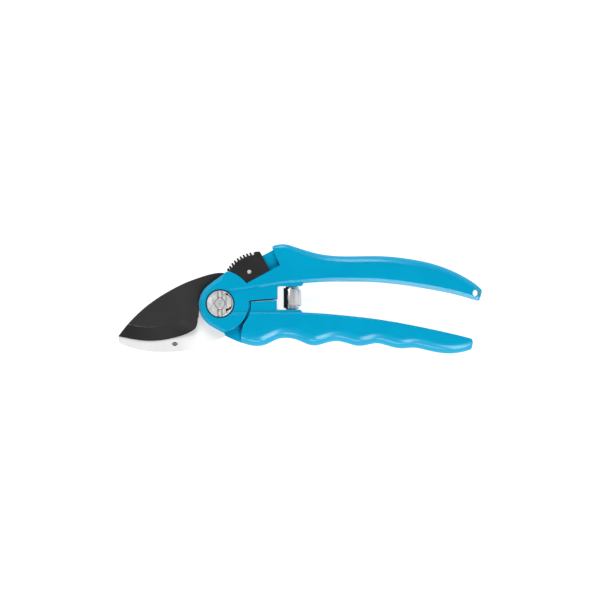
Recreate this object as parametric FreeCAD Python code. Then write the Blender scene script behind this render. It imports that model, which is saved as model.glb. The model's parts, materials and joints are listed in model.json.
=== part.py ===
import FreeCAD, Part
import math
import os

# Bypass pruning shears with cast handles, a volute spring between them and a thumb lock.
#
# Millimetres. Everything is drawn about the pivot, whose axis is Z: +X runs from the pivot to the
# ends of the handles, +Y to the upper handle, and +Z to the side with the pivot nut. The blades
# meet in the plane Z = 0, the cutting blade above it and the counter blade below it. At the end all
# the pieces move together, so that the origin is the middle of the bottom of the whole object's box.

V = FreeCAD.Vector
Y_AXIS = V(0, 1, 0)
Z_AXIS = V(0, 0, 1)
CENTRE = V(0, 0, 0)

# Levels, measured from the plane where the blades meet.
FACE = 7.5            # outer faces of both handles
CHANNEL = 6.6         # the sunk band beside the pivot, between the handles' raised faces
SLOT_TOP = 3.8        # the head's slot runs from 0 to here
BLADE_LOW = 0.1
BLADE_TOP = 3.1
EDGE_LEVEL = 0.5      # the ground face of the cutting blade comes down to this level
COUNTER_LOW = -3.5
COUNTER_TOP = -0.05
TONGUE_LOW = 0.3
TONGUE_TOP = 3.4
TRACK_HALF = 4.6      # half the thickness of the rail that the lock slides on
OVER = 20.0           # more than half the thickness of anything

# Circles about the pivot.
SHANK_R = 2.95
BOLT_HOLE_R = 3.05
BUSH_R = 4.9
BLADE_BORE_R = 5.0
BLADE_HUB_R = 11.0
TONGUE_INNER_R = 11.3
HEEL_R = 17.4         # the cutting blade's heel, which swings inside the head
CAVITY_R = 17.8
HEAD_R = 16.1         # the head's edge beside the lower handle
SHOULDER_R = 17.5     # the lower handle's edge beside the head
HEAD_TOP_R = 18.7     # the head's edge beside the lock
NOSE_CENTRE = (2.0, -0.7)
NOSE_R = 14.0         # the round front of the head, with a straight edge on from each end
NOSE_LOW = -118.75
NOSE_LOW_LENGTH = 8.5
NOSE_HIGH = 126.6
NOSE_HIGH_LENGTH = 11.4
COUNTER_HUB_R = 11.5
LIP_R = 17.2          # the step in the head's edge at the bottom of the groove beside the shoulder
LIP_START = -36.0
LIP_TOP = 5.2

# Pivot hardware.
RUNNING_GAP = 0.05    # between turned pieces that slip over each other
SEAT_GAP = 0.02       # between pieces that are clamped together
NUT_R = 7.4
NUT_CHAMFER = 0.4
NUT_LOW = 5.5
NUT_TOP = 8.0
NUT_RECESS_R = 7.8
NUT_RECESS_FLOOR = 5.4
NUT_SLOT_WIDTH = 2.9
NUT_SLOT_DEPTH = 1.0
LOCK_TAB_DEPTH = 1.4
BOLT_END = 7.8
BOLT_CHAMFER = 0.3
BOLT_HEAD_ROUND = 0.8
CENTRE_MARK_R = 0.6
CENTRE_MARK_RISE = 0.25    # of the ball that makes the mark, over the bolt's end
BOLT_HEAD_R = 6.4
BOLT_HEAD_LOW = -7.3
BOLT_HEAD_TOP = -5.35
BOLT_RECESS_R = 7.1
BOLT_RECESS_FLOOR = -4.6
SOCKET_ACROSS_CORNERS = 5.8
SOCKET_DEPTH = 2.2
BOLT_WASHER_R = 6.6
BLADE_WASHER_R = 9.6
WASHER_RISE = 0.15    # of the blade's washer over the blade
TAB_SUNK = 0.15       # the lock tab's face under the nut's

# Handles.
TAPER_START = 80.0    # the handles' faces close in from here to the ends
TAPER_END = 156.0
TAPER_DROP = 2.0
UPPER_TOP_ROUND = (4.6, 2.0)     # along the grip, and down to this at the hump
INNER_BEVEL = (2.1, 1.5)         # across the face and down the side
HEAD_BEVEL = 2.1
CREASE_BEVEL = 1.0
FINGER_ROUND = (5.4, 6.8)        # at the end of the grip, and from its taper forwards
EDGE_ROUND = 0.8
HANG_HOLE = (144.2, 5.9)
HANG_HOLE_R = 1.9

# Motion.
LOCK_TRAVEL = 5.5
RIB_START = 2.5       # the rib in the head's slot, as angles about the pivot
RIB_END = 8.5
HEEL_START = 39.5
HEEL_END = 100.0

# Lock, in its own axes: S along the slide and N square to it, turned about the pivot from X and Y.
LOCK_ANGLE = 28.4
TRACK_TOP_N = 12.4
WALL_N = 2.9          # the raised neck's edge beside the rail
WALL_S = 40.0
SLIDER_ARC_R = 18.95
SLIDER_LOW_N = 3.2
SLIDER_HALF = 7.4
SLIDER_GAP = 0.25
PIN_S = 23.0
PIN_N = 7.9
PIN_R = 1.15
RIDGE_CENTRE = (23.2, -2.0)
RIDGE_TIP_R = 20.0
RIDGE_HEIGHT = 1.7
RIDGE_WIDTH = 0.85
RIDGE_PITCH = 1.97
RIDGE_FIRST_S = 14.6
RIDGE_COUNT = 8
TOE_S = (12.2, 13.5)  # the solid ends of the ridged back
HEEL_BLOCK_S = (30.0, 33.6)
HEEL_BLOCK_TOP_N = 16.2
BAR_HALF_N = 2.7
BAR_LOW = 0.75
BAR_TOP = 3.35
BAR_NOSE_R = 18.0
BAR_START_S = 13.0    # short of the bar's round nose
BAR_END_S = 30.5
BAR_GAP = 0.3
LEAF_START_S = 25.2
LEAF_END_S = 29.8
LEAF_HALF_N = 1.6
LEAF_THICK = 0.25
LEAF_SEAT = 2.4       # level of the hollow in the bar that holds the leaf
LEAF_GAP = 0.2        # round the leaf in its hollow
LEAF_CROWN = 3.5      # the top of its bow

# Tangs and their rivets: direction from the pivot, half width, length, rivets' distances.
BLADE_TANG = (-19.6, 3.8, 42.0)
BLADE_RIVETS = (24.5, 35.0)
COUNTER_TANG = (26.0, 4.0, 31.0)
COUNTER_RIVETS = (20.2, 26.8)
RIVET_R = 1.6
RIVET_HEAD_R = 2.7
RIVET_RECESS_R = 2.9
RIVET_FACE = -6.4
RIVET_HEAD_DEPTH = 1.1

# Spring, standing along Y between the handles.
SPRING_X = 40.1
SPRING_LOW_Y = -3.45
SPRING_HIGH_Y = 9.75
SPRING_END_R = 2.5
SPRING_GROWTH = 2.5
SPRING_STRIP = 0.7
SPRING_TURNS = 4
SPRING_STEPS = 20     # straight pieces in each turn
SPRING_END_WIDTH = 2.4
SPRING_MID_WIDTH = 9.0
PEG_R = 1.7
PEG_STAND = 1.7
PEG_SUNK = 4.2
UPPER_SEAT_Y = 9.8
LOWER_SEAT_Y = -3.5


def polar(radius, degrees):
    """The point at that radius and angle about the pivot."""
    angle = math.radians(degrees)
    return (radius * math.cos(angle), radius * math.sin(angle))


def degrees_of(x, y):
    return math.degrees(math.atan2(y, x))


def lock_to_xy(s, n):
    """A point in the lock's axes as X and Y."""
    turned = math.radians(LOCK_ANGLE)
    return (s * math.cos(turned) - n * math.sin(turned), s * math.sin(turned) + n * math.cos(turned))


class Outline:
    """A closed outline seen along Z, drawn from point to point."""

    def __init__(self, start):
        self.first = V(*start, 0)
        self.last = self.first
        self.edges = []

    def _add(self, curve, end):
        self.edges.append(curve.toShape())
        self.last = end
        return self

    def line(self, *points):
        for point in points:
            end = V(*point, 0)
            self._add(Part.LineSegment(self.last, end), end)
        return self

    def arc(self, middle, end):
        end = V(*end, 0)
        return self._add(Part.Arc(self.last, V(*middle, 0), end), end)

    def around(self, end_degrees):
        """The shorter arc about the pivot from the present point to an angle."""
        start_degrees = degrees_of(self.last.x, self.last.y)
        sweep = (end_degrees - start_degrees + 180) % 360 - 180
        radius = self.last.Length
        return self.arc(polar(radius, start_degrees + sweep / 2), polar(radius, end_degrees))

    def curve(self, *points):
        """One smooth curve through the points."""
        stops = [self.last] + [V(*point, 0) for point in points]
        spline = Part.BSplineCurve()
        spline.interpolate(Points=stops)
        return self._add(spline, stops[-1])

    def prism(self, low, high):
        """The solid of this outline between two levels."""
        if self.last.distanceToPoint(self.first) > 1e-6:
            self.line((self.first.x, self.first.y))
        solid = Part.Face(Part.Wire(self.edges)).extrude(V(0, 0, high - low))
        solid.translate(V(0, 0, low))
        return solid


def disc(radius, low, high, centre=(0, 0)):
    return Part.makeCylinder(radius, high - low, V(*centre, low))


def ring(outer, inner, low, high):
    return disc(outer, low, high).cut(disc(inner, low - 1, high + 1))


def block(x_low, x_high, y_low, y_high, z_low, z_high):
    return Part.makeBox(x_high - x_low, y_high - y_low, z_high - z_low, V(x_low, y_low, z_low))


def round_bar(start, end, half_width, low, high):
    """A flat bar with round ends between two points."""
    along = V(*end, 0).sub(V(*start, 0))
    middle = block(0, along.Length, -half_width, half_width, low, high)
    middle.rotate(CENTRE, Z_AXIS, degrees_of(along.x, along.y))
    middle.translate(V(*start, 0))
    ends = [disc(half_width, low, high, point) for point in (start, end)]
    return middle.fuse(ends).removeSplitter()


def tang(spec, low, high):
    """The strip that carries a blade into its handle, from the pivot outwards."""
    degrees, half_width, length = spec
    return round_bar((0, 0), polar(length - half_width, degrees), half_width, low, high)


def cut_all(shape, *tools):
    for tool in tools:
        shape = shape.cut(tool)
    return shape


def edges_at(solid, level):
    """The edges that lie flat at one level."""
    flat = [edge for edge in solid.Edges if edge.BoundBox.ZLength < 0.01]
    return [edge for edge in flat if abs(edge.BoundBox.ZMin - level) < 0.01]


def in_lock_axes(shape):
    """Turns a shape that was drawn in the lock's axes into place."""
    shape.rotate(CENTRE, Z_AXIS, LOCK_ANGLE)
    return shape


def rim(solid, curve):
    """The edges of a prism's two faces that lie over one piece of its outline."""
    found = []
    for edge in solid.Edges:
        low, high = edge.ParameterRange
        samples = [edge.valueAt(low + (high - low) * part) for part in (0.1, 0.5, 0.9)]
        flat = [Part.Vertex(V(point.x, point.y, 0)) for point in samples]
        upright = flat[0].Point.distanceToPoint(flat[2].Point) < 1e-3
        if not upright and all(curve.distToShape(spot)[0] < 0.01 for spot in flat):
            found.append(edge)
    return found


def between_faces():
    """The space between the handles' faces, which close in towards the ends."""
    length = TAPER_END - TAPER_START
    radius = (length**2 + TAPER_DROP**2) / (2 * TAPER_DROP)
    half = math.asin(length / radius) / 2
    start = V(TAPER_START, 0, FACE)
    bend = V(TAPER_START + radius * math.sin(half), 0, FACE - radius * (1 - math.cos(half)))
    end = V(TAPER_END, 0, FACE - TAPER_DROP)
    back = V(-TAPER_END, 0, FACE)
    edges = [
        Part.LineSegment(back, start).toShape(),
        Part.Arc(start, bend, end).toShape(),
        Part.LineSegment(end, V(TAPER_END, 0, 0)).toShape(),
        Part.LineSegment(V(TAPER_END, 0, 0), V(-TAPER_END, 0, 0)).toShape(),
        Part.LineSegment(V(-TAPER_END, 0, 0), back).toShape(),
    ]
    upper = Part.Face(Part.Wire(edges)).extrude(V(0, 2 * TAPER_END, 0))
    upper.translate(V(0, -TAPER_END, 0))
    return upper.fuse(upper.mirror(CENTRE, Z_AXIS)).removeSplitter()


# ------------------------------------------------------------------ upper handle


def upper_grip():
    """The rounded grip, longer at both ends than it ends up."""
    outline = Outline((22.0, 30.0))
    outline.curve(
        (28.0, 32.0), (36.0, 33.5), (42.3, 31.95), (49.0, 29.8), (55.8, 28.05), (62.5, 27.1), (72.7, 26.7),
        (85.0, 26.9), (96.3, 26.5), (106.4, 25.3), (116.5, 23.4), (126.7, 20.3), (136.8, 15.7),
        (143.5, 11.6), (150.0, 5.5),
    )
    top = outline.edges[-1]
    outline.line((150.0, 0.5))
    outline.curve(
        (145.2, 1.75), (138.5, 3.7), (131.2, 5.6), (122.0, 7.5), (110.9, 9.4), (99.7, 11.0), (87.0, 12.1),
        (72.0, 12.45), (58.0, 12.25), (47.0, 11.5), (32.2, 10.0), (22.0, 8.1),
    )
    inner = outline.edges[-1]
    grip = outline.prism(-OVER, OVER).common(between_faces())
    front_part = [edge for edge in rim(grip, top) if edge.CenterOfMass.x < TAPER_START]
    grip = grip.makeFillet(*UPPER_TOP_ROUND, front_part)
    for side, sizes in ((1, INNER_BEVEL), (-1, INNER_BEVEL[::-1])):
        edges = [edge for edge in rim(grip, inner) if edge.CenterOfMass.z * side > 0]
        grip = grip.makeChamfer(*sizes, edges)
    return grip


def grip_limits():
    """What is kept of the grip: its front end beside the lock, and its rear end."""
    outline = Outline(lock_to_xy(WALL_S, WALL_N))
    outline.line((29.4, 31.1))
    outline.arc((29.8, 32.2), (30.9, 32.9))
    outline.line((32.0, 40.0), (140.0, 40.0), (147.6, 8.0))
    outline.arc((147.65, 6.7), (147.2, 5.4))
    outline.line((146.5, 2.6))
    outline.arc((146.1, 1.9), (145.2, 1.4))
    outline.line((140.0, -5.0), (22.0, 0.0), (22.0, 14.6))
    return outline.prism(-OVER, OVER)


def nose_point(degrees, along=0.0):
    """The point on the round of the head at that angle, or so far along the tangent there."""
    angle = math.radians(degrees)
    return (
        NOSE_CENTRE[0] + NOSE_R * math.cos(angle) - along * math.sin(angle),
        NOSE_CENTRE[1] + NOSE_R * math.sin(angle) + along * math.cos(angle),
    )


def head_and_neck():
    """The raised face round the pivot and the neck that joins it to the grip."""
    outline = Outline(nose_point(NOSE_LOW, NOSE_LOW_LENGTH))
    outline.line(nose_point(NOSE_LOW))
    outline.arc(nose_point(180.0), nose_point(NOSE_HIGH))
    outline.line(nose_point(NOSE_HIGH, -NOSE_HIGH_LENGTH))
    bevelled = outline.edges[:3]
    outline.arc((4.7, 18.15), (6.6, 17.5))
    wall_start = lock_to_xy(math.sqrt(HEAD_TOP_R**2 - WALL_N**2), WALL_N)
    outline.around(degrees_of(*wall_start))
    outline.line(lock_to_xy(WALL_S, WALL_N), (40.0, 20.0), (36.0, 12.5))
    outline.arc((20.0, 9.3), (4.0, 6.9))
    creases = [outline.edges[-1]]
    outline.line((4.0, -5.2), (15.25, -4.9))
    creases.append(outline.edges[-1])
    outline.around(degrees_of(2.7, -17.0))
    head = outline.prism(-FACE, FACE)
    head = head.makeChamfer(HEAD_BEVEL, [edge for piece in bevelled for edge in rim(head, piece)])
    return head.makeChamfer(CREASE_BEVEL, [edge for piece in creases for edge in rim(head, piece)])


def upper_web():
    """The upper handle at the level of the sunk band, with the tab over the spring."""
    outline = Outline((30.0, 16.0))
    outline.line((12.0, 8.5), (0.0, 12.0), (-6.0, 0.0), (0.0, -10.0), polar(HEAD_R, -50.0))
    outline.around(2.5)
    outline.arc((16.35, 1.5), (17.1, 1.8))
    outline.line((32.3, 2.95), (32.3, 8.9))
    outline.arc((32.5, 9.4), (33.0, UPPER_SEAT_Y))
    outline.line((45.6, UPPER_SEAT_Y))
    outline.arc((46.7, 10.9), (46.3, 12.6))
    outline.line((45.0, 14.0))
    return outline.prism(-CHANNEL, CHANNEL)


def groove_lip():
    """The lower part of the upper handle's edge, which leaves only a hair's gap under the groove."""
    outline = Outline(polar(LIP_R - 2.0, LIP_START))
    outline.line(polar(LIP_R, LIP_START))
    outline.around(2.0)
    outline.line((17.4, 1.1), (18.2, 1.25), (32.3, 2.33), (32.3, 6.0), (12.0, 6.0))
    return outline.prism(-LIP_TOP, LIP_TOP)


def rail():
    """The thin rail above the neck that the lock slides on, with the slot for the lock's pin."""
    start_s = math.sqrt(HEAD_TOP_R**2 - TRACK_TOP_N**2)
    outline = Outline((17.0, WALL_N - 1.5))
    outline.line((WALL_S + 2, WALL_N - 1.5), (WALL_S + 2, TRACK_TOP_N), (start_s, TRACK_TOP_N))
    plate = in_lock_axes(outline.prism(-TRACK_HALF, TRACK_HALF))
    slot = round_bar((PIN_S, PIN_N), (PIN_S + LOCK_TRAVEL, PIN_N), PIN_R + BAR_GAP, -OVER, OVER)
    return plate.cut(in_lock_axes(slot))


def bar_passage():
    """The passage through the rail and the head's rim that the lock's bar slides in."""
    half = BAR_HALF_N + BAR_GAP
    end = BAR_END_S + LOCK_TRAVEL + BAR_GAP
    passage = block(BAR_START_S, end, PIN_N - half, PIN_N + half, BAR_LOW - BAR_GAP, BAR_TOP + BAR_GAP)
    return in_lock_axes(passage)


def head_slot():
    """The slot that the cutting blade and the tongue turn in, with the rib that joins the cheeks."""
    inner = BLADE_HUB_R + 0.4
    outer = CAVITY_R + 1.0
    outline = Outline(polar(inner, RIB_START))
    outline.line(polar(outer, RIB_START)).around(RIB_END).line(polar(inner, RIB_END)).around(RIB_START)
    return disc(CAVITY_R, 0, SLOT_TOP).cut(outline.prism(-OVER, OVER))


def upper_handle():
    grip = upper_grip().common(grip_limits())
    body = head_and_neck().fuse([grip, upper_web(), groove_lip(), rail()])
    body = cut_all(
        body,
        head_slot(),
        bar_passage(),
        counter_blade_blank(COUNTER_LOW, 0),
        disc(BOLT_HOLE_R, -OVER, OVER),
        disc(NUT_RECESS_R, NUT_RECESS_FLOOR, OVER),
        disc(BOLT_RECESS_R, -OVER, BOLT_RECESS_FLOOR),
        disc(HANG_HOLE_R, -OVER, OVER, HANG_HOLE),
        rivet_holes(COUNTER_TANG, COUNTER_RIVETS),
        peg(UPPER_SEAT_Y, 1),
    )
    return body.removeSplitter()


# ------------------------------------------------------------------ lower handle


def lower_raised():
    """The raised faces of the lower handle, with its four finger hollows."""
    outline = Outline((9.0, -22.0))
    outline.curve(
        (11.8, -22.3), (15.3, -23.3), (20.2, -24.1), (24.6, -23.6), (29.6, -21.4), (33.4, -19.9),
        (37.5, -19.55), (41.6, -20.1), (45.8, -21.6), (49.6, -23.2), (53.6, -23.8), (59.4, -22.4), (65.3, -21.35),
        (71.8, -22.5), (78.0, -24.0), (83.2, -23.4), (88.2, -22.55), (94.6, -23.9), (102.6, -25.45),
        (109.6, -25.05), (116.6, -26.4), (123.5, -27.8), (130.0, -28.3), (136.8, -27.5), (146.0, -24.2),
    )
    fingers = outline.edges[-1]
    outline.line((146.0, -20.8))
    outline.curve(
        (131.7, -17.2), (118.2, -14.2), (104.7, -11.5), (91.2, -9.2), (77.7, -7.5), (64.2, -6.15),
        (47.0, -5.05), (30.0, -4.9), (9.0, -4.6),
    )
    back = outline.edges[-1]
    body = outline.prism(-OVER, OVER).common(between_faces())
    rear_part = [edge for edge in rim(body, fingers) if edge.CenterOfMass.x > TAPER_START]
    body = body.makeFillet(*FINGER_ROUND, rear_part)
    return body.makeChamfer(EDGE_ROUND, rim(body, back))


def lower_limits():
    """What is kept of the lower handle: the shoulder beside the head, and the rear end."""
    outline = Outline((17.0, -3.0))
    outline.line(polar(SHOULDER_R, -13.0))
    outline.around(-39.0)
    outline.curve((12.3, -15.0), (11.8, -18.6), (11.7, -24.5))
    outline.line((60.0, -40.0), (138.0, -40.0), (141.7, -26.2))
    outline.arc((142.25, -24.0), (142.4, -21.3))
    outline.arc((142.1, -20.3), (141.3, -19.2))
    outline.line((138.0, 0.0), (17.0, 0.0))
    return outline.prism(-OVER, OVER)


def lower_web():
    """The lower handle at the level of the sunk band, with the tab under the spring."""
    outline = Outline(polar(SHOULDER_R, -25.0))
    outline.around(1.0)
    outline.arc((17.75, 0.75), (18.3, 0.9))
    outline.line((31.9, 1.95), (31.9, LOWER_SEAT_Y), (44.6, LOWER_SEAT_Y))
    outline.arc((45.9, -4.1), (46.4, -5.6))
    outline.line((46.4, -9.0))
    return outline.prism(-CHANNEL, CHANNEL)


def tongue():
    """The thin part of the lower handle that turns in the head's slot, about the blade's hub."""
    outline = Outline(polar(TONGUE_INNER_R, 0.5))
    outline.line((20.0, 0.17), (20.0, -15.0), (14.0, -21.9), (11.7, -22.1))
    outline.curve((8.5, -20.9), (5.6, -19.6), (2.8, -18.1))
    outline.line(polar(TONGUE_INNER_R, -80.0))
    outline.around(0.5)
    return outline.prism(TONGUE_LOW, TONGUE_TOP)


def lower_handle():
    body = lower_raised().common(lower_limits()).fuse([lower_web(), tongue()])
    body = cut_all(
        body,
        tang(BLADE_TANG, BLADE_LOW, TONGUE_TOP + 0.1).common(disc(SHOULDER_R + 0.5, 0, OVER)),
        tang(BLADE_TANG, BLADE_LOW, BLADE_TOP),
        disc(TONGUE_INNER_R, -OVER, OVER),
        rivet_holes(BLADE_TANG, BLADE_RIVETS),
        peg(LOWER_SEAT_Y, -1),
    )
    return body.removeSplitter()


# ------------------------------------------------------------------ blades


def ground_face():
    """What grinding takes off the cutting blade: a wedge that runs along the edge and fades out."""
    stations = (
        ((-61.0, -17.3), (-60.5, -9.6), EDGE_LEVEL),
        ((-54.5, -19.2), (-53.5, -11.3), EDGE_LEVEL),
        ((-48.0, -20.6), (-47.0, -12.7), EDGE_LEVEL),
        ((-42.0, -21.2), (-41.7, -13.3), EDGE_LEVEL),
        ((-36.0, -21.0), (-36.6, -13.1), EDGE_LEVEL),
        ((-30.0, -20.2), (-31.4, -12.2), EDGE_LEVEL),
        ((-24.0, -18.7), (-26.0, -10.9), EDGE_LEVEL + 0.3),
        ((-18.5, -16.9), (-21.0, -9.4), EDGE_LEVEL + 1.3),
        ((-12.5, -13.5), (-15.5, -7.0), BLADE_TOP - 0.15),
    )
    sections = []
    for edge, crease, level in stations:
        edge_point = V(*edge, level)
        crease_point = V(*crease, BLADE_TOP)
        outer = edge_point + (edge_point - crease_point) * 0.4
        above = V(0, 0, 4)
        corners = [crease_point, outer, outer + above, crease_point + above]
        sections.append(Part.makePolygon(corners + corners[:1]))
    return Part.makeLoft(sections, True, False)


def cutting_blade():
    """The blade with its hub, the heel that the lock holds, and the tang in the lower handle."""
    outline = Outline((-57.7, -18.2))
    outline.arc((-57.8, -18.6), (-57.3, -18.75))
    outline.curve(
        (-50.5, -20.05), (-42.1, -21.15), (-33.6, -20.75), (-25.2, -19.1), (-19.6, -17.3), (-16.0, -15.5)
    )
    outline.curve((-14.0, -13.7), (-13.1, -11.3), (-12.8, -8.1))
    outline.line((-12.35, -8.0), (-12.0, -3.0), (-6.0, 0.0), (0.0, HEEL_R))
    outline.curve(
        (-5.5, 16.6), (-11.1, 14.95), (-19.6, 11.8), (-28.0, 7.6), (-36.5, 2.4), (-44.9, -4.15),
        (-50.5, -9.6), (-57.7, -18.2),
    )
    heel = Outline(polar(6.0, HEEL_START))
    heel.line(polar(HEEL_R, HEEL_START)).around(HEEL_END).line((0.0, 0.0))
    body = outline.prism(BLADE_LOW, BLADE_TOP).cut(ground_face())
    body = body.fuse([
        disc(BLADE_HUB_R, BLADE_LOW, BLADE_TOP),
        heel.prism(BLADE_LOW, BLADE_TOP),
        tang(BLADE_TANG, BLADE_LOW, BLADE_TOP),
    ])
    half = BAR_HALF_N + BAR_GAP
    notch = in_lock_axes(block(12.0, 20.0, PIN_N - half, PIN_N + half, -OVER, OVER))
    body = cut_all(body, disc(BLADE_BORE_R, -OVER, OVER), notch, rivet_holes(BLADE_TANG, BLADE_RIVETS))
    return body.removeSplitter()


def counter_blade_blank(low, high):
    """The counter blade without its holes, which is also its seat in the upper handle."""
    outline = Outline((-57.8, -18.0))
    outline.line((-57.8, -20.9))
    outline.arc((-57.3, -22.2), (-56.0, -23.1))
    outline.curve(
        (-50.5, -25.1), (-44.0, -26.6), (-36.0, -27.5), (-27.0, -27.4), (-17.3, -26.3), (-8.0, -23.3),
        (2.5, -18.7),
    )
    outline.line(polar(15.9, -76.0), (0.0, 0.0), polar(COUNTER_HUB_R, 170.0))
    outline.curve(
        (-13.6, -5.5), (-18.5, -11.0), (-26.0, -14.6), (-34.0, -16.3), (-42.0, -16.8), (-50.0, -16.9),
        (-57.8, -18.0),
    )
    body = outline.prism(low, high)
    return body.fuse([disc(COUNTER_HUB_R, low, high), tang(COUNTER_TANG, low, high)]).removeSplitter()


def counter_blade():
    body = counter_blade_blank(COUNTER_LOW, COUNTER_TOP)
    body = cut_all(body, disc(BOLT_HOLE_R, -OVER, OVER), rivet_holes(COUNTER_TANG, COUNTER_RIVETS))
    return body.removeSplitter()


def rivet_places(spec, distances):
    return [polar(distance, spec[0]) for distance in distances]


def rivet_top(spec):
    """Where the rivets end: just under the cutting blade's face, or flush with the counter blade."""
    return BLADE_TOP - 0.3 if spec is BLADE_TANG else COUNTER_TOP


def rivet_holes(spec, distances):
    """Holes for rivets that come in from the back, with a sunk seat for each head."""
    holes = []
    for place in rivet_places(spec, distances):
        holes.append(disc(RIVET_R, RIVET_FACE, rivet_top(spec), place))
        holes.append(disc(RIVET_RECESS_R, -OVER, RIVET_FACE + RIVET_HEAD_DEPTH, place))
    return Part.makeCompound(holes)


def rivets(spec, distances):
    made = []
    for place in rivet_places(spec, distances):
        shank = disc(RIVET_R, RIVET_FACE, rivet_top(spec), place)
        head = disc(RIVET_HEAD_R, RIVET_FACE, RIVET_FACE + RIVET_HEAD_DEPTH, place)
        made.append(head.fuse(shank).removeSplitter())
    return Part.makeCompound(made)


def blade_rivets():
    return rivets(BLADE_TANG, BLADE_RIVETS)


def counter_blade_rivets():
    return rivets(COUNTER_TANG, COUNTER_RIVETS)


# ------------------------------------------------------------------ pivot


def pivot_bolt():
    shank = disc(SHANK_R, BOLT_HEAD_TOP - 0.5, BOLT_END)
    shank = shank.makeChamfer(BOLT_CHAMFER, edges_at(shank, BOLT_END))
    head = disc(BOLT_HEAD_R, BOLT_HEAD_LOW, BOLT_HEAD_TOP)
    head = head.makeFillet(BOLT_HEAD_ROUND, edges_at(head, BOLT_HEAD_LOW))
    corners = [V(*polar(SOCKET_ACROSS_CORNERS / 2, 60 * side), BOLT_HEAD_LOW - 1) for side in range(7)]
    socket = Part.Face(Part.makePolygon(corners)).extrude(V(0, 0, SOCKET_DEPTH + 1))
    mark = Part.makeSphere(CENTRE_MARK_R, V(0, 0, BOLT_END + CENTRE_MARK_RISE))
    return cut_all(head.fuse(shank).removeSplitter(), socket, mark)


def nut_pocket():
    """The pocket in the nut's face on the far side from the blades, open above and below the tab."""
    outline = Outline((3.3, 6.0))
    outline.line((3.3, -4.7), (6.2, -3.1))
    outline.arc((6.95, 0.5), (4.3, 5.5))
    return outline.prism(NUT_TOP - LOCK_TAB_DEPTH, OVER)


def nut_lock_tab():
    outline = Outline((3.6, 4.8))
    outline.line((3.6, -3.0), (6.35, -1.5))
    outline.arc((6.6, 1.2), (4.9, 4.4))
    return outline.prism(NUT_TOP - LOCK_TAB_DEPTH, NUT_TOP - TAB_SUNK)


def pivot_nut():
    nut = disc(NUT_R, NUT_LOW, NUT_TOP)
    nut = nut.makeChamfer(NUT_CHAMFER, edges_at(nut, NUT_TOP))
    half = NUT_SLOT_WIDTH / 2
    slot = block(-half, half, -OVER, OVER, NUT_TOP - NUT_SLOT_DEPTH, OVER)
    return cut_all(nut, disc(SHANK_R + SEAT_GAP, -OVER, OVER), slot, nut_pocket())


def pivot_bush():
    return ring(BUSH_R, SHANK_R + RUNNING_GAP, 0.0, SLOT_TOP - SEAT_GAP)


def blade_washer():
    return ring(BLADE_WASHER_R, BUSH_R + RUNNING_GAP, BLADE_TOP + WASHER_RISE, SLOT_TOP - SEAT_GAP)


def bolt_washer():
    return ring(BOLT_WASHER_R, SHANK_R + RUNNING_GAP, BOLT_HEAD_TOP + SEAT_GAP, BOLT_RECESS_FLOOR - SEAT_GAP)


# ------------------------------------------------------------------ spring


def spring():
    """A flat strip wound from a small end through a wide middle to a small end."""
    count = SPRING_TURNS * SPRING_STEPS
    sections = []
    for step in range(count + 1):
        along = step / count
        swell = math.sin(math.pi * along)
        radius = SPRING_END_R + SPRING_GROWTH * (1 - abs(2 * along - 1))
        width = SPRING_END_WIDTH + (SPRING_MID_WIDTH - SPRING_END_WIDTH) * swell
        low = SPRING_LOW_Y + SPRING_END_WIDTH / 2
        middle = low + (SPRING_HIGH_Y - SPRING_LOW_Y - SPRING_END_WIDTH) * along
        angle = 2 * math.pi * SPRING_TURNS * along
        outward = V(math.cos(angle), 0, math.sin(angle))
        centre = V(SPRING_X, middle, 0) + outward * radius
        side = outward * (SPRING_STRIP / 2)
        up = Y_AXIS * (width / 2)
        corners = [centre - side - up, centre + side - up, centre + side + up, centre - side + up]
        sections.append(Part.makePolygon(corners + corners[:1]))
    return Part.makeLoft(sections, True, True)


def peg(seat_y, side):
    """A stud in a handle's tab. side is +1 when the handle is above the spring."""
    start = min(seat_y - side * PEG_STAND, seat_y + side * PEG_SUNK)
    return Part.makeCylinder(PEG_R, PEG_STAND + PEG_SUNK, V(SPRING_X, start, 0), Y_AXIS)


def upper_spring_peg():
    return peg(UPPER_SEAT_Y, 1)


def lower_spring_peg():
    return peg(LOWER_SEAT_Y, -1)


# ------------------------------------------------------------------ lock


def lock_slider():
    """The ridged saddle over the rail."""
    tips = disc(RIDGE_TIP_R, -OVER, OVER, RIDGE_CENTRE)
    blocks = [
        block(*TOE_S, PIN_N, OVER, -SLIDER_HALF, SLIDER_HALF),
        block(*HEEL_BLOCK_S, PIN_N, HEEL_BLOCK_TOP_N, -SLIDER_HALF, SLIDER_HALF),
    ]
    for number in range(RIDGE_COUNT):
        start = RIDGE_FIRST_S + RIDGE_PITCH * number - RIDGE_WIDTH / 2
        blocks.append(block(start, start + RIDGE_WIDTH, PIN_N, OVER, -SLIDER_HALF, SLIDER_HALF))
    body = disc(RIDGE_TIP_R - RIDGE_HEIGHT, -SLIDER_HALF, SLIDER_HALF, RIDGE_CENTRE)
    body = body.fuse([piece.common(tips) for piece in blocks])
    body = body.common(block(0, HEEL_BLOCK_S[1], SLIDER_LOW_N, OVER, -OVER, OVER))
    half = TRACK_HALF + SLIDER_GAP
    groove = block(0, OVER * 3, -OVER, TRACK_TOP_N + SLIDER_GAP, -half, half)
    body = cut_all(body, disc(SLIDER_ARC_R, -OVER, OVER), groove, disc(PIN_R, -OVER, OVER, (PIN_S, PIN_N)))
    return in_lock_axes(body.removeSplitter())


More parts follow.
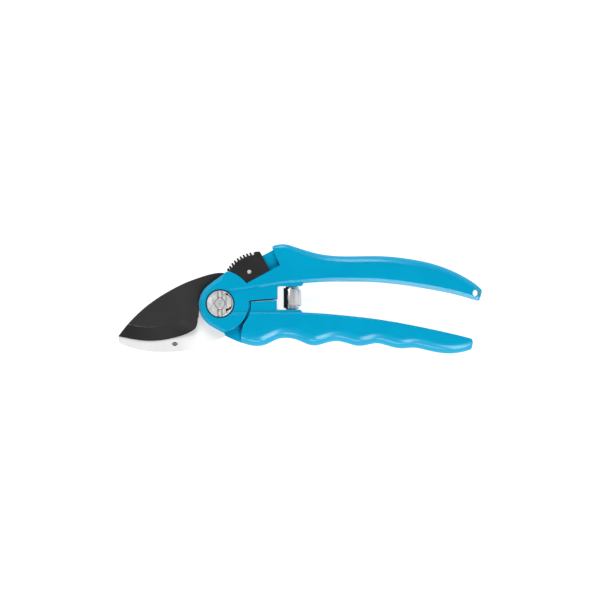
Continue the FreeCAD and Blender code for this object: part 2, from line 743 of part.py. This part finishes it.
def lock_bar():
    """The bar that the slider moves; its nose reaches for the heel's notch."""
    blank = block(BAR_START_S, BAR_END_S, PIN_N - BAR_HALF_N, PIN_N + BAR_HALF_N, BAR_LOW, BAR_TOP)
    half = LEAF_HALF_N + LEAF_GAP
    start, end = LEAF_START_S - LEAF_GAP, LEAF_END_S + LEAF_GAP
    hollow = block(start, end, PIN_N - half, PIN_N + half, LEAF_SEAT, OVER)
    body = cut_all(blank, disc(BAR_NOSE_R, -OVER, OVER), hollow, disc(PIN_R, -OVER, OVER, (PIN_S, PIN_N)))
    return in_lock_axes(body)


def lock_pin():
    pin = disc(PIN_R, -SLIDER_HALF + 0.1, SLIDER_HALF - 0.1, (PIN_S, PIN_N))
    return in_lock_axes(pin)


def lock_leaf_spring():
    """A bowed strip in the bar's hollow."""
    rise = LEAF_CROWN - LEAF_SEAT - LEAF_THICK
    middle = (LEAF_START_S + LEAF_END_S) / 2
    edges = []
    for level in (LEAF_SEAT, LEAF_SEAT + LEAF_THICK):
        start = V(LEAF_START_S, PIN_N - LEAF_HALF_N, level)
        top = V(middle, PIN_N - LEAF_HALF_N, level + rise)
        end = V(LEAF_END_S, PIN_N - LEAF_HALF_N, level)
        edges.append(Part.Arc(start, top, end).toShape())
    for s in (LEAF_START_S, LEAF_END_S):
        foot = V(s, PIN_N - LEAF_HALF_N, LEAF_SEAT)
        edges.append(Part.LineSegment(foot, foot + Z_AXIS * LEAF_THICK).toShape())
    face = Part.Face(Part.Wire(Part.__sortEdges__(edges)))
    return in_lock_axes(face.extrude(V(0, 2 * LEAF_HALF_N, 0)))


# ------------------------------------------------------------------ export

PIECES = {
    "upper_handle": upper_handle,
    "lower_handle": lower_handle,
    "cutting_blade": cutting_blade,
    "counter_blade": counter_blade,
    "pivot_bolt": pivot_bolt,
    "pivot_nut": pivot_nut,
    "nut_lock_tab": nut_lock_tab,
    "pivot_bush": pivot_bush,
    "blade_washer": blade_washer,
    "bolt_washer": bolt_washer,
    "counter_blade_rivets": counter_blade_rivets,
    "blade_rivets": blade_rivets,
    "spring": spring,
    "upper_spring_peg": upper_spring_peg,
    "lower_spring_peg": lower_spring_peg,
    "lock_slider": lock_slider,
    "lock_bar": lock_bar,
    "lock_pin": lock_pin,
    "lock_leaf_spring": lock_leaf_spring,
}

shapes = {name: make() for name, make in PIECES.items()}
extent = Part.makeCompound(list(shapes.values())).optimalBoundingBox()
to_origin = V(-(extent.XMin + extent.XMax) / 2, -(extent.YMin + extent.YMax) / 2, -extent.ZMin)
os.makedirs("parts", exist_ok=True)
for name, shape in shapes.items():
    shape.translate(to_origin)
    shape.exportStep(f"parts/{name}.step")
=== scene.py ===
import json
import math

import bpy
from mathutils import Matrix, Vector


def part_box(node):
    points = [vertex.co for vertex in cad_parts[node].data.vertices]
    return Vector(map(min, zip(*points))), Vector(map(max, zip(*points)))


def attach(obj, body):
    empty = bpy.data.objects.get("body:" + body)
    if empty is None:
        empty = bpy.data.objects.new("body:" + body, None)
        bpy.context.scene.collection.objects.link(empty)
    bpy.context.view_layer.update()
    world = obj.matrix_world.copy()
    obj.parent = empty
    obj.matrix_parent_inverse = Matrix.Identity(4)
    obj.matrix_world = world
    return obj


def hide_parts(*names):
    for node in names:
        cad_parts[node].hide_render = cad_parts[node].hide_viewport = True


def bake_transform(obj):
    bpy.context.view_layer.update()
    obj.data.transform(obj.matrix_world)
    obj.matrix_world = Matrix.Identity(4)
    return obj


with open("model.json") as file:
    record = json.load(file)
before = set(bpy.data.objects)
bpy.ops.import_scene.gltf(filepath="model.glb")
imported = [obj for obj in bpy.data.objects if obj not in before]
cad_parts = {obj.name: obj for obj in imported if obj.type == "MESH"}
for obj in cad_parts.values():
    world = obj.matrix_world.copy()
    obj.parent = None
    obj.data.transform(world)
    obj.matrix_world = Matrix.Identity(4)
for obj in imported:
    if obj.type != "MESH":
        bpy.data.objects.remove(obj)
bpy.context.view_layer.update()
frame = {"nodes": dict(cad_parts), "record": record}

# Pruning shears, lying on their back face. Metres, in the frame of the CAD model: +X runs to the
# ends of the handles, +Y to the upper handle, and +Z out of the face with the pivot nut.

MM = 0.001
JOINTS = {joint["name"]: joint for joint in frame["record"]["behaviour"]["joints"]}
PIVOT = Vector(JOINTS["blade_pivot"]["pos_m"])
UPPER, LOWER = "upper_body", "lower_body"

CAMERA_WIDTH = 337.5 * MM      # what the picture's width covers at the level of the handles' faces
CAMERA_LENS = 110.0
SENSOR_WIDTH = 36.0
CAMERA_AIM = (0.1 * MM, -0.6 * MM)

SPRING_LENGTHWAYS = 240        # faces along the strip
SPRING_TURNS = 4
SPRING_STRIP = 0.7 * MM
SPRING_CORNER = 0.2 * MM
SPRING_END_R = 2.5 * MM
SPRING_GROWTH = 2.5 * MM
SPRING_END_WIDTH = 2.4 * MM
SPRING_MID_WIDTH = 9.0 * MM

MARK_PLACE = (-25.9 * MM, -22.9 * MM)      # the etched leaf's middle, from the pivot
MARK_LENGTH = 3.9 * MM
MARK_HALF_WIDTH = 1.05 * MM
MARK_RIB = 0.1 * MM
MARK_RISE = 0.01 * MM
MARK_STEPS = 12

# Where the finishes change, from the pivot.
NUT_SHADE_R = (8.0 * MM, 8.4 * MM)             # painted shade round the nut, and where it fades out
FINGERS_Y = (-16 * MM, -12 * MM)           # the lower handle's finger side, and where it fades out
NEAR_TIP_X = (-52 * MM, -34 * MM)          # the same for the black blade's end, where its crease gets a painted highlight
ROOT_X = (-24 * MM, -10 * MM)              # where the counter blade is painted brighter, filling the head's shadow
DARK_SIDE_EDGE = (-2.4 * MM, -1.5 * MM)          # the edge of the spring's painted dark side, from the spring's middle

GRIND_TURN = 0.35              # how far the grinding lines turn from X, in radians
SATIN_TURN = 0.25
NOISE_SPREAD = (0.3, 0.7)      # nearly all of a noise's values lie between these
RING_SCALE = 0.314             # a wave texture's scale that puts its rings one metre apart

FLOOR_REACH = 4.0
FLOOR_GLOW = 0.9
LIGHT_DISTANCE = 1.4
BRIGHT_SIDE = (0.6, -0.8, 0.0)
SKY_SIDES = (0.13, 0.65)       # the sky's strength away from the bright side and toward it
SKY_SIDE_REACH = 0.6
SKY_BRIGHTNESS = ((0.0, 1.0), (0.4, 1.0), (0.7, 0.4), (0.88, 0.22), (0.95, 0.03), (1.0, 0.02))

# Name, azimuth and elevation in degrees, width and height in metres, and brightness.
SOFT_BOXES = (
    ("low_front", -97, 19, 0.5, 0.3, 12.5),
    ("front", -68, 40, 0.34, 1.0, 19.5),
    ("back", 91, 35, 0.42, 1.0, 12.0),
    ("left", 155, 42, 0.5, 0.6, 5.8),
)


# ------------------------------------------------------------------ finishes


class Finish:
    """A Principled material and the few kinds of node that the finishes here are built from."""

    def __init__(self, name, **constants):
        self.material = bpy.data.materials.new(name)
        self.material.use_nodes = True
        self.nodes = self.material.node_tree.nodes
        self.links = self.material.node_tree.links
        self.shader = self.nodes["Principled BSDF"]
        coordinates = self.nodes.new("ShaderNodeTexCoord")
        self.place = coordinates.outputs["Object"]
        self.direction = coordinates.outputs["Normal"]
        self.normal = None
        for socket, value in constants.items():
            self.shader.inputs[socket.replace("_", " ")].default_value = value

    def _put(self, socket, value):
        if isinstance(value, bpy.types.NodeSocket):
            self.links.new(value, socket)
        else:
            socket.default_value = value

    def set(self, socket, value):
        self.links.new(value, self.shader.inputs[socket])

    def math(self, operation, a, b=0.0):
        node = self.nodes.new("ShaderNodeMath")
        node.operation = operation
        self._put(node.inputs[0], a)
        self._put(node.inputs[1], b)
        return node.outputs[0]

    def span(self, value, low, high, start=0.0, end=1.0):
        """The value's range from start to end, spread from low to high."""
        node = self.nodes.new("ShaderNodeMapRange")
        for name, number in (("From Min", start), ("From Max", end), ("To Min", low), ("To Max", high)):
            node.inputs[name].default_value = number
        self.links.new(value, node.inputs["Value"])
        return node.outputs["Result"]

    def mix(self, factor, first, second):
        node = self.nodes.new("ShaderNodeMix")
        node.data_type = "RGBA"
        self._put(node.inputs["Factor"], factor)
        for socket, colour in ((node.inputs[6], first), (node.inputs[7], second)):
            self._put(socket, colour if isinstance(colour, bpy.types.NodeSocket) else (*colour, 1))
        return node.outputs[2]

    def over(self, colour, mask, strength, shade):
        """The colour, with that much of the shade over it where the mask is."""
        return self.mix(self.math("MULTIPLY", mask, strength), colour, shade)

    # Places and directions

    def moved(self, origin=(0, 0, 0), turn=0.0, stretch=(1, 1, 1)):
        """Coordinates about a point, turned about Z and stretched."""
        shift = self.nodes.new("ShaderNodeVectorMath")
        shift.operation = "SUBTRACT"
        self.links.new(self.place, shift.inputs[0])
        shift.inputs[1].default_value = origin
        mapping = self.nodes.new("ShaderNodeMapping")
        self.links.new(shift.outputs[0], mapping.inputs["Vector"])
        mapping.inputs["Rotation"].default_value = (0, 0, turn)
        mapping.inputs["Scale"].default_value = stretch
        return mapping.outputs["Vector"]

    def component(self, vector, axis):
        parts = self.nodes.new("ShaderNodeSeparateXYZ")
        self.links.new(vector, parts.inputs[0])
        return parts.outputs[axis]

    def from_pivot(self, axis):
        """Distance from the pivot along an axis."""
        return self.component(self.moved(PIVOT), axis)

    def off_pivot_axis(self):
        """Distance straight from the pivot's own axis."""
        length = self.nodes.new("ShaderNodeVectorMath")
        length.operation = "LENGTH"
        self.links.new(self.moved(PIVOT, 0.0, (1, 1, 0)), length.inputs[0])
        return length.outputs["Value"]

    def steepness(self, low, high):
        """0 on level faces and 1 on sloping ones, turning between two values of the slope's cosine."""
        return self.span(self.component(self.direction, "Z"), 1.0, 0.0, low, high)

    def edges(self, radius, low=0.8, high=0.995):
        """1 on an edge sharper than the radius and 0 on open surfaces, between two cosines."""
        rounded = self.nodes.new("ShaderNodeBevel")
        rounded.samples = 4
        rounded.inputs["Radius"].default_value = radius
        geometry = self.nodes.new("ShaderNodeNewGeometry")
        dot = self.nodes.new("ShaderNodeVectorMath")
        dot.operation = "DOT_PRODUCT"
        self.links.new(rounded.outputs["Normal"], dot.inputs[0])
        self.links.new(geometry.outputs["Normal"], dot.inputs[1])
        return self.span(dot.outputs["Value"], 1.0, 0.0, low, high)

    def hollows(self, reach, low=0.25, high=0.85):
        """1 deep in a corner or a narrow gap, and 0 where nothing is near."""
        node = self.nodes.new("ShaderNodeAmbientOcclusion")
        node.samples = 6
        node.inputs["Distance"].default_value = reach
        return self.span(node.outputs["AO"], 1.0, 0.0, low, high)

    # Patterns

    def noise(self, size, detail=2.0, roughness=0.5, coordinates=None):
        """Noise from 0 to 1 whose features are about that size, in metres."""
        node = self.nodes.new("ShaderNodeTexNoise")
        self.links.new(coordinates or self.place, node.inputs["Vector"])
        node.inputs["Scale"].default_value = 1 / size
        node.inputs["Detail"].default_value = detail
        node.inputs["Roughness"].default_value = roughness
        return node.outputs["Fac"]

    def spread(self, noise, low, high):
        """A noise's usual range, spread from low to high."""
        return self.span(noise, low, high, *NOISE_SPREAD)

    def clouds(self, noise, dark, light):
        """Two shades in soft patches that follow the noise."""
        return self.mix(self.spread(noise, 0.0, 1.0), dark, light)

    def rings(self, spacing, origin, distortion=0.0):
        """Turned rings about Z through a point."""
        node = self.nodes.new("ShaderNodeTexWave")
        node.wave_type = "RINGS"
        node.rings_direction = "Z"
        self.links.new(self.moved(origin), node.inputs["Vector"])
        node.inputs["Scale"].default_value = RING_SCALE / spacing
        node.inputs["Distortion"].default_value = distortion
        return node.outputs["Fac"]

    # Relief

    def _shape(self, normal):
        self.normal = normal
        self.links.new(normal, self.shader.inputs["Normal"])
        self.links.new(normal, self.shader.inputs["Coat Normal"])

    def rounded(self, radius):
        """Takes the sharpness off the edges."""
        node = self.nodes.new("ShaderNodeBevel")
        node.samples = 6
        node.inputs["Radius"].default_value = radius
        self._shape(node.outputs["Normal"])

    def bump(self, value, depth):
        """Adds relief of that depth to what there is already."""
        node = self.nodes.new("ShaderNodeBump")
        node.inputs["Distance"].default_value = depth
        self.links.new(value, node.inputs["Height"])
        if self.normal is not None:
            self.links.new(self.normal, node.inputs["Normal"])
        self._shape(node.outputs["Normal"])


def lacquer():
    """Azure lacquer over a casting: faint orange peel, painted shade in corners and round the nut,
    painted highlights on edges and on the upper side's slopes, and a duller coat on the hand-worn
    outsides.
    """
    finish = Finish("azure_lacquer", Coat_IOR=1.28, Specular_IOR_Level=0.03)
    palm_wear_and_highlight = finish.span(finish.component(finish.direction, "Y"), 0.0, 1.0, 0.05, 0.2)
    fingers = finish.span(finish.from_pivot("Y"), 1.0, 0.0, *FINGERS_Y)
    nut_ring_shade = finish.span(finish.off_pivot_axis(), 1.0, 0.0, *NUT_SHADE_R)
    speck = finish.span(finish.noise(0.35 * MM, 1.0), 0.0, 1.0, 0.6, 0.75)

    colour = finish.clouds(finish.noise(18 * MM, 3.0), (0.0002, 0.232, 0.395), (0.0004, 0.254, 0.42))
    colour = finish.over(colour, speck, 0.25, (0.0008, 0.29, 0.475))
    # Painted highlight: sloping faces that face +Y, such as the upper handle's top rounding, are painted
    # paler. The same mask dulls the coat further down.
    colour = finish.over(colour, palm_wear_and_highlight, finish.steepness(0.85, 0.98), (0.003, 0.3, 0.515))
    # Painted shade: darker in corners and narrow gaps.
    colour = finish.over(colour, finish.hollows(0.8 * MM), 0.6, (0.002, 0.12, 0.22))
    # Painted highlight: paler along sharp edges.
    colour = finish.over(colour, finish.edges(0.4 * MM), 0.35, (0.02, 0.38, 0.56))
    # Painted shade: darker in a ring round the pivot nut.
    finish.set("Base Color", finish.over(colour, nut_ring_shade, 0.85, (0.004, 0.03, 0.05)))

    finish.set("Coat Roughness", finish.span(finish.math("MAXIMUM", palm_wear_and_highlight, fingers), 0.17, 0.21))
    finish.set("Coat Weight", finish.span(finish.steepness(0.4, 0.76), 1.0, 0.15))
    finish.set("Roughness", finish.spread(finish.noise(2.5 * MM, 4.0), 0.3, 0.42))
    finish.rounded(0.35 * MM)
    finish.bump(finish.noise(1.3 * MM, 2.0), 0.012 * MM)
    finish.bump(finish.noise(0.25 * MM, 1.0), 0.002 * MM)
    return finish.material


def coated_steel():
    """Black low-friction coating: grinding lines show through it, with painted shade on the ground bevel
    and painted highlights on the crease near the tip and on the edges.
    """
    finish = Finish("black_coating", Specular_IOR_Level=0.14)
    lines = finish.noise(0.22 * MM, 3.0, 0.6, finish.moved(PIVOT, GRIND_TURN, (0.03, 1, 1)))
    near_tip = finish.span(finish.from_pivot("X"), 1.0, 0.0, *NEAR_TIP_X)
    patchy = finish.span(finish.noise(0.9 * MM, 2.0), 0.2, 1.0, 0.45, 0.6)
    crease_highlight = finish.math("MULTIPLY", finish.edges(0.5 * MM, 0.985, 0.998), near_tip)

    colour = finish.clouds(finish.noise(9 * MM, 4.0), (0.02, 0.02, 0.0205), (0.024, 0.024, 0.0245))
    # Painted shade: the sloping ground bevel is painted darker.
    colour = finish.mix(finish.steepness(0.96, 0.985), colour, (0.009, 0.009, 0.0092))
    colour = finish.over(colour, finish.span(lines, 0.0, 1.0, 0.55, 0.8), 0.3, (0.034, 0.034, 0.035))
    # Painted highlight: a patchy pale line along the crease near the tip.
    colour = finish.over(colour, crease_highlight, patchy, (0.3, 0.3, 0.3))
    # Painted highlight: greyer along sharp edges.
    finish.set("Base Color", finish.over(colour, finish.edges(0.2 * MM), 0.2, (0.14, 0.14, 0.14)))

    finish.set("Roughness", finish.spread(lines, 0.42, 0.6))
    finish.rounded(0.15 * MM)
    finish.bump(lines, 0.005 * MM)
    finish.bump(finish.noise(0.12 * MM, 1.0), 0.004 * MM)
    return finish.material


def satin_steel():
    """Steel ground along its length, painted brighter toward the root to fill the head's shadow, with a
    few fine pits.
    """
    finish = Finish("satin_ground_steel", Metallic=0.2)
    lines = finish.noise(0.16 * MM, 4.0, 0.65, finish.moved(PIVOT, SATIN_TURN, (0.02, 1, 1)))
    pits = finish.span(finish.noise(0.5 * MM, 2.0), 1.0, 0.0, 0.2, 0.3)
    colour = finish.clouds(finish.noise(14 * MM, 3.0), (0.585, 0.585, 0.585), (0.645, 0.645, 0.645))
    colour = finish.over(colour, finish.span(lines, 0.0, 1.0, 0.5, 0.85), 0.4, (0.6, 0.6, 0.6))
    # Painted light: brighter toward the root, filling the shadow that the head casts.
    root = finish.span(finish.from_pivot("X"), 0.0, 1.0, *ROOT_X)
    finish.set("Base Color", finish.over(colour, root, 0.8, (0.82, 0.82, 0.82)))
    finish.set("Roughness", finish.span(lines, 0.42, 0.58, 0.25, 0.75))
    finish.rounded(0.25 * MM)
    finish.bump(lines, 0.004 * MM)
    finish.bump(pits, -0.003 * MM)
    return finish.material


def turned_steel():
    """Bright plated steel with the rings that the lathe left about the pivot."""
    finish = Finish("turned_bright_steel", Metallic=0.4)
    stain = finish.noise(2.4 * MM, 3.0)
    colour = finish.mix(finish.span(stain, 0.0, 1.0, 0.35, 0.65), (0.5, 0.5, 0.51), (0.7, 0.7, 0.7))
    # Painted shade: nearly black in the slot, notches and gaps.
    colour = finish.over(colour, finish.hollows(1.4 * MM, 0.4, 0.9), 0.95, (0.02, 0.02, 0.022))
    finish.set("Base Color", colour)
    finish.set("Roughness", finish.spread(stain, 0.25, 0.45))
    finish.rounded(0.15 * MM)
    finish.bump(finish.rings(0.3 * MM, PIVOT, 0.6), 0.008 * MM)
    return finish.material


def plated_steel(name, dark, light, rough):
    """Plain hardware: plating with a fine grain, cloudy, with painted shade in its corners."""
    finish = Finish(name, Metallic=0.5)
    cloud = finish.noise(2.2 * MM, 4.0)
    colour = finish.clouds(cloud, dark, light)
    # Painted shade: darker in corners and gaps.
    finish.set("Base Color", finish.over(colour, finish.hollows(0.8 * MM), 0.8, (0.08, 0.08, 0.08)))
    finish.set("Roughness", finish.spread(cloud, rough - 0.07, rough + 0.08))
    finish.rounded(0.15 * MM)
    finish.bump(finish.noise(0.15 * MM, 2.0), 0.004 * MM)
    return finish.material


def spring_chrome():
    """Bright strip with rubbing marks along the coil, and painted shade, nearly black and not metallic,
    on the side toward the pivot.
    """
    finish = Finish("spring_bright_strip")
    low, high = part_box("spring")
    middle = (low[0] + high[0]) / 2 - PIVOT.x
    waver = finish.span(finish.noise(2.2 * MM, 2.0), -MM, MM)
    across = finish.math("ADD", finish.from_pivot("X"), waver)
    # Painted shade: the side toward the pivot is painted nearly black and not metallic.
    painted_dark_side = finish.span(across, 1.0, 0.0, *(middle + edge for edge in DARK_SIDE_EDGE))
    lines = finish.noise(0.9 * MM, 2.0, 0.6, finish.moved(PIVOT, 0.0, (1, 0.04, 0.3)))
    colour = finish.mix(finish.span(lines, 0.0, 1.0, 0.35, 0.65), (0.55, 0.55, 0.56), (0.86, 0.86, 0.86))
    finish.set("Base Color", finish.mix(painted_dark_side, colour, (0.012, 0.012, 0.012)))
    finish.set("Metallic", finish.span(painted_dark_side, 0.6, 0.0))
    finish.set("Roughness", finish.spread(lines, 0.18, 0.26))
    finish.bump(lines, 0.001 * MM)
    return finish.material


def bronze():
    """Sintered bronze, with open pores."""
    finish = Finish("bearing_bronze", Metallic=0.9)
    grain = finish.noise(0.4 * MM, 4.0)
    finish.set("Base Color", finish.clouds(grain, (0.42, 0.26, 0.1), (0.62, 0.42, 0.2)))
    finish.set("Roughness", finish.spread(grain, 0.3, 0.5))
    finish.bump(grain, 0.005 * MM)
    return finish.material


def black_plastic():
    """Moulded nylon with a spark-eroded grain, and a painted highlight that greys its sharp edges."""
    finish = Finish("moulded_black_nylon", Specular_IOR_Level=0.3)
    grain = finish.noise(0.28 * MM, 3.0, 0.6)
    colour = finish.clouds(finish.noise(6 * MM, 2.0), (0.006, 0.0058, 0.0058), (0.0095, 0.009, 0.009))
    # Painted highlight: greyer along sharp edges.
    finish.set("Base Color", finish.over(colour, finish.edges(0.3 * MM), 0.6, (0.045, 0.044, 0.043)))
    finish.set("Roughness", finish.spread(grain, 0.42, 0.6))
    finish.rounded(0.3 * MM)
    finish.bump(grain, 0.02 * MM)
    return finish.material


def etched_mark():
    """Dark etching with a fine frosted grain."""
    finish = Finish("etched_mark", Metallic=0.3)
    grain = finish.noise(0.1 * MM, 2.0)
    finish.set("Base Color", finish.mix(grain, (0.01, 0.01, 0.01), (0.05, 0.05, 0.05)))
    finish.set("Roughness", finish.span(grain, 0.5, 0.75))
    finish.bump(grain, 0.003 * MM)
    return finish.material


def pale_board():
    """The pale surface under the shears, lit from below, but not where something stands close over it."""
    finish = Finish("pale_board", Roughness=0.9, Specular_IOR_Level=0.05)
    finish.shader.inputs["Emission Color"].default_value = (1, 1, 1, 1)
    covered = finish.hollows(5 * MM, 0.0, 0.3)
    finish.set("Emission Strength", finish.span(covered, FLOOR_GLOW, 0.0))
    finish.set("Base Color", finish.mix(finish.noise(120 * MM, 3.0), (0.3, 0.3, 0.3), (0.34, 0.34, 0.34)))
    finish.bump(finish.noise(0.8 * MM, 2.0), 0.01 * MM)
    return finish.material


# ------------------------------------------------------------------ pieces


def mesh_object(name, points, faces):
    mesh = bpy.data.meshes.new(name)
    mesh.from_pydata([tuple(point) for point in points], [], faces)
    mesh.update()
    made = bpy.data.objects.new(name, mesh)
    bpy.context.scene.collection.objects.link(made)
    return made


def smooth(piece, degrees=40.0):
    for polygon in piece.data.polygons:
        polygon.use_smooth = True
    piece.data.set_sharp_from_angle(angle=math.radians(degrees))


def strip_section(width, thickness, corner, steps=3):
    """The strip's cross-section with rounded edges, as (outward, along the axis) pairs."""
    half_t, half_w = thickness / 2 - corner, width / 2 - corner
    points = []
    for quarter, (side_t, side_w) in enumerate(((1, 1), (-1, 1), (-1, -1), (1, -1))):
        for step in range(steps + 1):
            angle = math.pi / 2 * (quarter + step / steps)
            points.append((
                side_t * half_t + corner * math.cos(angle),
                side_w * half_w + corner * math.sin(angle),
            ))
    return points


def volute_points(low, high):
    """Every point of the strip, wound from a small end through a wide middle to a small end along Y."""
    axis_x = (low.x + high.x) / 2
    travel = high.y - low.y - SPRING_END_WIDTH
    points = []
    for step in range(SPRING_LENGTHWAYS + 1):
        along = step / SPRING_LENGTHWAYS
        radius = SPRING_END_R + SPRING_GROWTH * (1 - abs(2 * along - 1))
        width = SPRING_END_WIDTH + (SPRING_MID_WIDTH - SPRING_END_WIDTH) * math.sin(math.pi * along)
        centre_y = low.y + SPRING_END_WIDTH / 2 + travel * along
        angle = 2 * math.pi * SPRING_TURNS * along
        for outward, up in strip_section(width, SPRING_STRIP, SPRING_CORNER):
            reach = radius + outward
            points.append((
                axis_x + reach * math.cos(angle), centre_y + up, PIVOT.z + reach * math.sin(angle)
            ))
    return points


def volute_spring():
    low, high = (Vector(corner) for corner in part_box("spring"))
    points = volute_points(low, high)
    ring = len(points) // (SPRING_LENGTHWAYS + 1)
    faces = [tuple(range(ring)), tuple(reversed(range(len(points) - ring, len(points))))]
    for step in range(SPRING_LENGTHWAYS):
        for corner in range(ring):
            after = (corner + 1) % ring
            start, end = step * ring, (step + 1) * ring
            faces.append((start + corner, end + corner, end + after, start + after))
    piece = mesh_object("spring_strip", points, faces)
    smooth(piece)
    piece.data.materials.append(spring_chrome())
    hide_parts("spring")
    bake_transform(piece)


def etched_leaf():
    """A plain leaf of two halves, etched in the counter blade."""
    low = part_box("counter_blade")[1][2]
    centre = PIVOT + Vector((*MARK_PLACE, 0))
    shares = [step / MARK_STEPS for step in range(MARK_STEPS + 1)]
    rim = [(MARK_LENGTH * (share - 0.5), MARK_HALF_WIDTH * math.sin(math.pi * share)) for share in shares]
    points, faces = [], []
    for side in (1, -1):
        first, count = len(points), len(rim)
        for level in (low, low + MARK_RISE):
            for along, out in rim[::side]:
                points.append((centre.x + along, centre.y + side * (MARK_RIB + out), level))
        bottom = list(range(first, first + count))
        top = [corner + count for corner in bottom]
        faces += [bottom, top[::-1]]
        for corner in range(count):
            after = (corner + 1) % count
            faces.append([bottom[after], bottom[corner], top[corner], top[after]])
    piece = mesh_object("etched_leaf", points, faces)
    piece.data.materials.append(etched_mark())
    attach(piece, UPPER)


# ------------------------------------------------------------------ CAD nodes' finishes

FINISHES = {
    "lacquer": lacquer(),
    "coated_steel": coated_steel(),
    "satin_steel": satin_steel(),
    "bright_steel": turned_steel(),
    "bolt_steel": plated_steel("zinc_plate", (0.5, 0.5, 0.51), (0.66, 0.66, 0.66), 0.35),
    "grey_steel": plated_steel("plain_grey_steel", (0.56, 0.56, 0.57), (0.7, 0.7, 0.7), 0.38),
    "rivet_steel": plated_steel("rivet_steel", (0.6, 0.6, 0.6), (0.72, 0.72, 0.72), 0.4),
    "pin_steel": plated_steel("pin_steel", (0.68, 0.67, 0.65), (0.78, 0.77, 0.75), 0.3),
    "spring_chrome": spring_chrome(),
    "bronze": bronze(),
    "black_plastic": black_plastic(),
}

for part in frame["record"]["subparts"]:
    node = frame["nodes"][part["node"]]
    node.data.materials.clear()
    node.data.materials.append(FINISHES[part["material_slot"]])

volute_spring()
etched_leaf()


# ------------------------------------------------------------------ floor, light and camera


def floor():
    corners = [(x * FLOOR_REACH, y * FLOOR_REACH, 0) for x, y in ((-1, -1), (1, -1), (1, 1), (-1, 1))]
    board = mesh_object("floor", corners, [(0, 1, 2, 3)])
    board.data.materials.append(pale_board())


def sky():
    """Bright to the front right, dim behind and to the left, and dark straight overhead."""
    world = bpy.data.worlds.new("studio")
    bpy.context.scene.world = world
    world.use_nodes = True
    nodes, links = world.node_tree.nodes, world.node_tree.links
    background = nodes["Background"]
    place = nodes.new("ShaderNodeTexCoord")
    parts = nodes.new("ShaderNodeSeparateXYZ")
    ramp = nodes.new("ShaderNodeValToRGB")
    links.new(place.outputs["Generated"], parts.inputs[0])
    links.new(parts.outputs["Z"], ramp.inputs["Fac"])
    links.new(ramp.outputs["Color"], background.inputs["Color"])
    facing = nodes.new("ShaderNodeVectorMath")
    facing.operation = "DOT_PRODUCT"
    facing.inputs[1].default_value = BRIGHT_SIDE
    links.new(place.outputs["Generated"], facing.inputs[0])
    side = nodes.new("ShaderNodeMapRange")
    side.inputs["From Min"].default_value = -SKY_SIDE_REACH
    side.inputs["From Max"].default_value = SKY_SIDE_REACH
    side.inputs["To Min"].default_value, side.inputs["To Max"].default_value = SKY_SIDES
    links.new(facing.outputs["Value"], side.inputs["Value"])
    links.new(side.outputs["Result"], background.inputs["Strength"])
    stops = ramp.color_ramp.elements
    stops.remove(stops[1])
    stops[0].color = (1, 1, 1, 1)
    for position, level in SKY_BRIGHTNESS[1:]:
        stops.new(position).color = (level, level, level, 1)


def soft_box(name, azimuth, elevation, width, height, brightness):
    """A lit rectangle that faces the shears from that direction."""
    around, up = math.radians(azimuth), math.radians(elevation)
    towards = Vector((math.cos(up) * math.cos(around), math.cos(up) * math.sin(around), math.sin(up)))
    data = bpy.data.lights.new(name, "AREA")
    data.shape = "RECTANGLE"
    data.size, data.size_y = width, height
    data.energy = brightness * math.pi * width * height
    lamp = bpy.data.objects.new(name, data)
    lamp.location = towards * LIGHT_DISTANCE
    lamp.rotation_euler = towards.to_track_quat("Z", "Y").to_euler()
    bpy.context.scene.collection.objects.link(lamp)


def camera():
    data = bpy.data.cameras.new("camera")
    data.lens = CAMERA_LENS
    data.sensor_width = SENSOR_WIDTH
    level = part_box("upper_handle")[1][2]
    made = bpy.data.objects.new("camera", data)
    made.location = (*CAMERA_AIM, level + CAMERA_WIDTH * CAMERA_LENS / SENSOR_WIDTH)
    bpy.context.scene.collection.objects.link(made)
    bpy.context.scene.camera = made


floor()
sky()
for box in SOFT_BOXES:
    soft_box(*box)
camera()
bpy.context.scene.view_settings.view_transform = "Standard"
